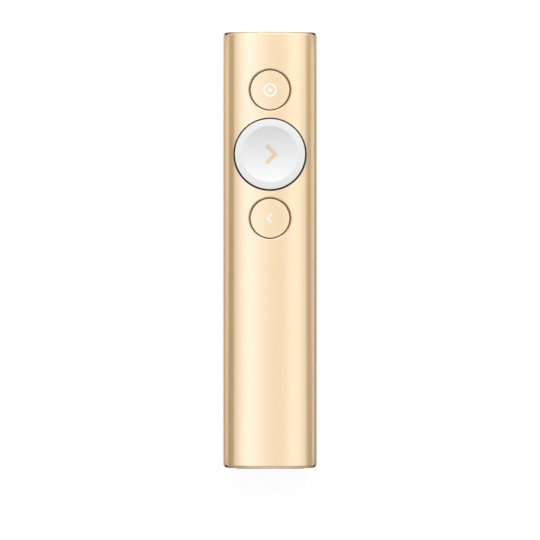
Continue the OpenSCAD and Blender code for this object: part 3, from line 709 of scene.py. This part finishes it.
FLOOR_SIZE = 4
FLOOR_DROP = 0.01 * MM
LIT_PAPER = (0.8, 0.8, 0.8)         # the floor's colour where it lights the object
FAINT_PAPER = (0.17, 0.17, 0.17)    # the eye sees this on top of the glow, and so the shadow
FLOOR_GLOW = 0.89
MIRRORED_GLOW = 0.1                 # metal mirrors this much of what the eye sees, else lit paper

# Dark cards on the floor: a long one beside the body and a square one past each of its ends
# They are painted shade: only metal mirrors them, in place of the floor's shade round the body
CARD_GAP, CARD_LIFT = 1 * MM, 0.02 * MM
BESIDE_WIDTH, BESIDE_REACH = 20 * MM, 68 * MM
BESIDE_SHADES = {-1: (0.63, 0.55, 0.43), 1: (0.52, 0.45, 0.35)}    # painted shade, by the side they lie on
BEYOND_SIZE = 45 * MM
# painted shade past the ends, near black, in what metal mirrors
BEYOND_SHADE = (0.04, 0.028, 0.012)


def make_floor():
    """A pale floor that shows white and keeps the shadow, seen by eye or in a reflection."""
    clear_selection()
    bpy.ops.mesh.primitive_plane_add(size=FLOOR_SIZE, location=(0, 0, -FLOOR_DROP))
    floor = start("floor")
    made = bare_material("floor_paper")
    paper = add(made, "ShaderNodeBsdfDiffuse", Color=(*LIT_PAPER, 1))
    faint = add(made, "ShaderNodeBsdfDiffuse", Color=(*FAINT_PAPER, 1))
    glow = add(made, "ShaderNodeEmission", Strength=FLOOR_GLOW)
    both = add(made, "ShaderNodeAddShader")
    path = add(made, "ShaderNodeLightPath")
    eye = add(made, "ShaderNodeMath", operation="MAXIMUM")
    mirrored = add(made, "ShaderNodeMath", operation="MULTIPLY_ADD")
    mirrored.inputs[1].default_value = MIRRORED_GLOW
    choose = add(made, "ShaderNodeMixShader")
    out = add(made, "ShaderNodeOutputMaterial")
    link(made, path, "Is Camera Ray", eye, 0)
    link(made, path, "Is Transmission Ray", eye, 1)
    link(made, path, "Is Glossy Ray", mirrored, 0)
    link(made, eye, 0, mirrored, 2)
    link(made, faint, 0, both, 0)
    link(made, glow, 0, both, 1)
    link(made, mirrored, 0, choose, 0)
    link(made, paper, 0, choose, 1)
    link(made, both, 0, choose, 2)
    link(made, choose, 0, out, "Surface")
    floor.data.materials.append(made)


def make_card(number, colour, x, y, width, length):
    """A dark card on the floor, which only metal mirrors: painted shade in its reflections."""
    clear_selection()
    bpy.ops.mesh.primitive_plane_add(size=1, location=(x, y, CARD_LIFT))
    card = start("card_%d" % number, (width, length, 1))
    made = bare_material("card_paper_%d" % number)
    paper = add(made, "ShaderNodeBsdfDiffuse", Color=(*colour, 1))
    out = add(made, "ShaderNodeOutputMaterial")
    link(made, paper, 0, out, "Surface")
    card.data.materials.append(made)
    card.visible_camera = card.visible_diffuse = card.visible_transmission = False
    card.visible_shadow = False


def make_shade_cards():
    """The cards on both sides of the body, which draw its edges with painted shade in what the
    metal mirrors.
    """
    cards = []
    for side in (-1, 1):
        inner = side * (TUBE_HALF + CARD_GAP)
        cards.append((BESIDE_SHADES[side], inner + side * BESIDE_WIDTH / 2, 0,
                      BESIDE_WIDTH, 2 * BESIDE_REACH))
        for end in (-1, 1):
            cards.append((BEYOND_SHADE, inner + side * BEYOND_SIZE / 2,
                          end * (BESIDE_REACH + BEYOND_SIZE / 2), BEYOND_SIZE, BEYOND_SIZE))
    for number, card in enumerate(cards, 1):
        make_card(number, *card)


# ---- Light ----

# Light of the studio by the angle from straight up, in degrees: its colour across the body, from
# left to right, and its share along the body, from tail to nose
ACROSS = [
    (-110, 1.20, 1.14, 1.04), (-92, 1.20, 1.15, 1.06), (-75, 0.48, 0.42, 0.33),
    (-60, 0.41, 0.35, 0.28), (-46, 0.58, 0.54, 0.48), (-36, 0.40, 0.33, 0.20),
    (-29, 0.77, 0.69, 0.48), (-24, 1.46, 1.57, 1.86), (-17, 1.34, 1.47, 1.94),
    (-8, 1.08, 1.13, 1.20), (0, 1.08, 1.09, 1.04), (8, 0.92, 0.88, 0.84),
    (16, 1.06, 1.10, 1.15), (22, 1.44, 1.58, 1.86), (27, 1.18, 1.21, 1.28),
    (33, 0.66, 0.58, 0.45), (42, 0.63, 0.59, 0.53), (56, 0.51, 0.47, 0.42),
    (75, 0.50, 0.45, 0.38), (92, 1.20, 1.15, 1.06), (110, 1.20, 1.14, 1.04)]
ALONG = [
    (-110, 1.2), (-90, 1.25), (-75, 1.05), (-62, 0.46), (-50, 0.34), (-36, 0.42),
    (-30, 0.68), (-22, 1.05), (-10, 1.0), (0, 1.0), (15, 1.02), (30, 1.15),
    (48, 1.3), (64, 1.18), (78, 0.85), (90, 0.62), (110, 0.62)]
REACH = 110                 # where both lists begin and end
PEAK = 2.0                  # a ramp's colours end at 1, so they are kept as shares of this
DIFFUSE_SHARE = 0.8         # share of the light on plain surfaces; metal mirrors all of it
CORNER_DARK = 0.95          # share taken from the light in the studio's corners at the floor
CORNER_LIFT = 0.6           # share added to it there, higher up
CORNER_HEIGHT = 0.18        # height up to which the corners are dark, where 1 is straight up
CORNER_SPREAD = 8.0         # how wide the corners are; more is wider

KEY_SIZE = (0.5, 0.3)
KEY_POWER = 13.0
KEY_TILT = math.radians(76)     # from straight up towards the nose
KEY_DISTANCE = 0.9


def make_studio():
    """Soft light all round, which metal mirrors, and plain white for the eye."""
    world = bpy.data.worlds.new("studio")
    bpy.context.scene.world = world
    world.use_nodes = True
    world.node_tree.nodes.clear()

    def new(kind, **values):
        return add(world, kind, **values)

    def maths(operation, *parts):
        """A math node of some parts, each a number or a node and its output."""
        node = new("ShaderNodeMath", operation=operation)
        for socket, part in enumerate(parts):
            if isinstance(part, tuple):
                link(world, *part, node, socket)
            else:
                node.inputs[socket].default_value = part
        return node, 0

    place = new("ShaderNodeTexCoord")
    direction = new("ShaderNodeSeparateXYZ")
    link(world, place, "Generated", direction, 0)
    across, along, up = ((direction, axis) for axis in "XYZ")

    def profile(part, table):
        """The light that a list gives, by the direction's angle from straight up."""
        spread = new("ShaderNodeMapRange", From_Min=-math.radians(REACH),
                     From_Max=math.radians(REACH))
        link(world, *maths("ARCTAN2", part, up), spread, "Value")
        ramp = new("ShaderNodeValToRGB")
        ramp.color_ramp.interpolation = "B_SPLINE"
        stops = ramp.color_ramp.elements
        while len(stops) < len(table):
            stops.new(0.5)      # its own place follows
        for stop, (degrees, *level) in zip(stops, table):
            red, green, blue = level if len(level) == 3 else level * 3
            stop.position = (degrees + REACH) / (2 * REACH)
            stop.color = (red / PEAK, green / PEAK, blue / PEAK, 1)
        link(world, spread, "Result", ramp, "Fac")
        return ramp

    # the studio's corners are dark close to the floor and a little lighter above that
    corner = maths("POWER", maths("MULTIPLY", across, along), 2.0)
    corner = maths("MINIMUM", maths("MULTIPLY", corner, CORNER_SPREAD), 1.0)
    low = maths("POWER", maths("DIVIDE", up, CORNER_HEIGHT), 2.0)
    low = maths("EXPONENT", maths("MULTIPLY", low, -1.0))
    change = maths("SUBTRACT", CORNER_LIFT, maths("MULTIPLY", low, CORNER_LIFT + CORNER_DARK))
    dim = maths("ADD", 1.0, maths("MULTIPLY", corner, change))

    both = new("ShaderNodeVectorMath", operation="MULTIPLY")
    link(world, profile(across, ACROSS), "Color", both, 0)
    link(world, profile(along, ALONG), "Color", both, 1)
    lit = new("ShaderNodeVectorMath", operation="SCALE")
    link(world, both, 0, lit, "Vector")
    link(world, *dim, lit, "Scale")
    path = new("ShaderNodeLightPath")
    strength = maths("MULTIPLY_ADD", (path, "Is Diffuse Ray"),
                     (DIFFUSE_SHARE - 1) * PEAK ** 2, PEAK ** 2)
    light = new("ShaderNodeBackground")
    link(world, *strength, light, "Strength")
    link(world, lit, 0, light, "Color")
    white = new("ShaderNodeBackground", Color=(1, 1, 1, 1), Strength=1.0)
    seen = maths("MAXIMUM", (path, "Is Camera Ray"), (path, "Is Transmission Ray"))
    choose = new("ShaderNodeMixShader")
    link(world, *seen, choose, 0)
    link(world, light, 0, choose, 1)
    link(world, white, 0, choose, 2)
    out = new("ShaderNodeOutputWorld")
    link(world, choose, 0, out, "Surface")


def make_key_lamp():
    """A soft box beyond the nose, which lights the dish and the edges that face it."""
    lamp = bpy.data.lights.new("key_lamp", "AREA")
    lamp.shape = "RECTANGLE"
    lamp.size, lamp.size_y = KEY_SIZE
    lamp.energy = KEY_POWER
    key = bpy.data.objects.new("key_lamp", lamp)
    bpy.context.scene.collection.objects.link(key)
    key.location = (0, KEY_DISTANCE * math.sin(KEY_TILT), KEY_DISTANCE * math.cos(KEY_TILT))
    key.rotation_euler = (-KEY_TILT, 0, 0)
    key.visible_glossy = False


# ---- Camera ----

CAMERA_HEIGHT = 1.1
CAMERA_Y = -5.9 * MM
FRAME_WIDTH = 162.1 * MM    # what the frame shows at the height where the rims' rounding begins
SENSOR = 36
NEAREST = 0.01              # nothing closer to the camera is shown


def make_camera():
    """Straight above the front, with the nose at the top of the frame."""
    camera = bpy.data.cameras.new("camera")
    camera.sensor_width = SENSOR
    camera.lens = SENSOR * (CAMERA_HEIGHT - CROWN + RIM) / FRAME_WIDTH
    camera.clip_start = NEAREST
    eye = bpy.data.objects.new("camera", camera)
    bpy.context.scene.collection.objects.link(eye)
    eye.location = (0, CAMERA_Y, CAMERA_HEIGHT)
    bpy.context.scene.camera = eye
    bpy.context.scene.view_settings.view_transform = "Standard"


# ---- Assembly ----

finish_nodes()

tube = make_tube()
finish_piece(tube, FINISHES["anodised_gold"], "housing", "anodised_gold", "body_tube")

pointer = make_small_cap("pointer")
finish_piece(pointer, FINISHES["gold_paint"], "pointer_button", "gold_paint", "pointer_cap")
back = make_small_cap("back")
finish_piece(back, FINISHES["gold_paint"], "back_button", "gold_paint", "back_cap")
large = make_next_cap()
finish_piece(large, FINISHES["pearl_white"], "next_button", "pearl_white", "next_cap")

for button, travel in TRAVELS.items():
    make_snap_dome(button)

target_sign = make_target("target_sign", over("pointer_cap"), pointer)
finish_piece(target_sign, sign_white(), "pointer_button", "pearl_white")
next_tip = over("next_cap") + Vector((NEXT_SIGN_TIP, 0, 0))
next_sign = make_chevron("next_sign", next_tip, NEXT_SIGN_ARM, NEXT_SIGN_STROKE, True, large)
finish_piece(next_sign, sign_gold(), "next_button", "gold_paint")
back_tip = over("back_cap") - Vector((BACK_SIGN_TIP, 0, 0))
back_sign = make_chevron("back_sign", back_tip, BACK_SIGN_ARM, BACK_SIGN_STROKE, False, back)
finish_piece(back_sign, sign_white(), "back_button", "pearl_white")

make_floor()
make_shade_cards()
make_studio()
make_key_lamp()
make_camera()
